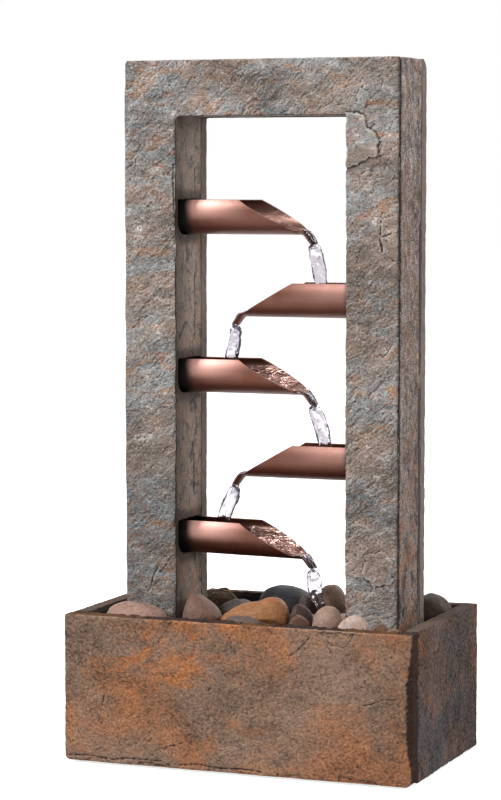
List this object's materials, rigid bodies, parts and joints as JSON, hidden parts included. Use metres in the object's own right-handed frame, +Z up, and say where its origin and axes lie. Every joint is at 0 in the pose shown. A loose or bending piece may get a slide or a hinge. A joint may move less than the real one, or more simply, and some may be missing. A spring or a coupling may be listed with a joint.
{
  "type": "tiered water fountain",
  "caption": "Tabletop slate water fountain: an arch over a slate basin, copper spouts stepping down from side to side, and a bed of river pebbles over a hidden pump.",
  "frame": {"origin": "centre of the face that the fountain stands on, under the basin", "axes": "+Z up, +X to the right and +Y to the back, seen from the front"},
  "size_m": [0.28, 0.168, 0.537],
  "materials": {
    "slate_arch": "riven face, grey-green with rust patches",
    "slate_strip": "sawn, mauve-brown with streaks",
    "slate_basin": "riven face, rust-orange over olive grey",
    "slate_basin_side": "sawn and weathered, dark brown-grey",
    "slate_plain": "sawn, dark grey",
    "liner_rubber": "matte black sealant coat",
    "pad_rubber": "matte",
    "grid_plastic": "moulded, satin black",
    "copper": "satin copper, brushed and handled",
    "sealant": "cured black sealant",
    "pump_plastic": "moulded black",
    "pump_trim": "moulded blue",
    "hose_clear": "clear flexible tube",
    "fitting_plastic": "moulded barbed fittings",
    "rotor_magnet": "moulded magnet with wheel",
    "shaft_ceramic": "polished",
    "pebble_tan": "tumbled, smooth",
    "pebble_orange": "tumbled, banded orange-brown",
    "pebble_brown": "tumbled, smooth",
    "pebble_dark": "tumbled, wet-dark",
    "pebble_blue": "tumbled, blue-grey",
    "pebble_cream": "tumbled, pale",
    "pebble_grey": "tumbled, grey",
    "water": "clear running water, drawn only in the visual model"
  },
  "bodies": {
    "fountain": {"basin_back_slab": "slate_basin_side", "basin_floor": "slate_plain", "basin_front_slab": "slate_basin", "basin_left_slab": "slate_basin_side", "basin_liner": "liner_rubber", "basin_right_slab": "slate_basin_side", "foot_pads": "pad_rubber", "grid_panel_back": "grid_plastic", "grid_panel_front": "grid_plastic", "grid_panel_middle": "grid_plastic", "grid_posts": "grid_plastic", "left_leg_inner_strip": "slate_strip", "left_leg_outer_strip": "slate_strip", "lintel_soffit_strip": "slate_strip", "lintel_top_strip": "slate_strip", "pebble_blue_back": "pebble_blue", "pebble_brown_front": "pebble_brown", "pebble_by_left_leg": "pebble_brown", "pebble_cream_front": "pebble_cream", "pebble_dark_middle": "pebble_dark", "pebble_flat_front": "pebble_grey", "pebble_front_left": "pebble_tan", "pebble_grey_middle": "pebble_grey", "pebble_right_corner": "pebble_dark", "pebble_rough_back": "pebble_dark", "pebble_saddle": "pebble_orange", "pebble_tall_back": "pebble_brown", "pebble_tan_front": "pebble_tan", "pebble_upright": "pebble_dark", "pebbles_back": "pebble_grey", "pebbles_small": "pebble_brown", "pump_cable_gland": "pump_plastic", "pump_chamber_lid": "fitting_plastic", "pump_elbow": "fitting_plastic", "pump_feet": "pad_rubber", "pump_housing": "pump_plastic", "pump_shaft": "shaft_ceramic", "right_leg_inner_strip": "slate_strip", "right_leg_outer_strip": "slate_strip", "riser_lower_elbow": "fitting_plastic", "riser_tube": "hose_clear", "riser_upper_elbow": "fitting_plastic", "spout_1": "copper", "spout_1_inlet_cap": "copper", "spout_2": "copper", "spout_3": "copper", "spout_4": "copper", "spout_5": "copper", "spout_end_caps": "copper", "spout_saddles": "sealant", "supply_hose": "hose_clear", "tower_back_slab": "slate_arch", "tower_front_slab": "slate_arch"},
    "pump_rotor": {"pump_rotor": "rotor_magnet"},
    "intake_cover": {"pump_intake_cover": "pump_plastic"},
    "flow_dial": {"pump_flow_dial": "pump_trim"}
  },
  "joints": [
    {"name": "rotor_spin", "type": "hinge", "parent": "fountain", "child": "pump_rotor", "pos_m": [0.004, -0.007, 0.0395], "axis": [1, 0, 0], "continuous": true},
    {"name": "cover_pull", "type": "slide", "parent": "fountain", "child": "intake_cover", "axis": [1, 0, 0], "range_m": [0, 0.02]},
    {"name": "dial_turn", "type": "hinge", "parent": "intake_cover", "child": "flow_dial", "pos_m": [0.0294, -0.007, 0.0395], "axis": [1, 0, 0], "range_deg": [0, 90]}
  ]
}
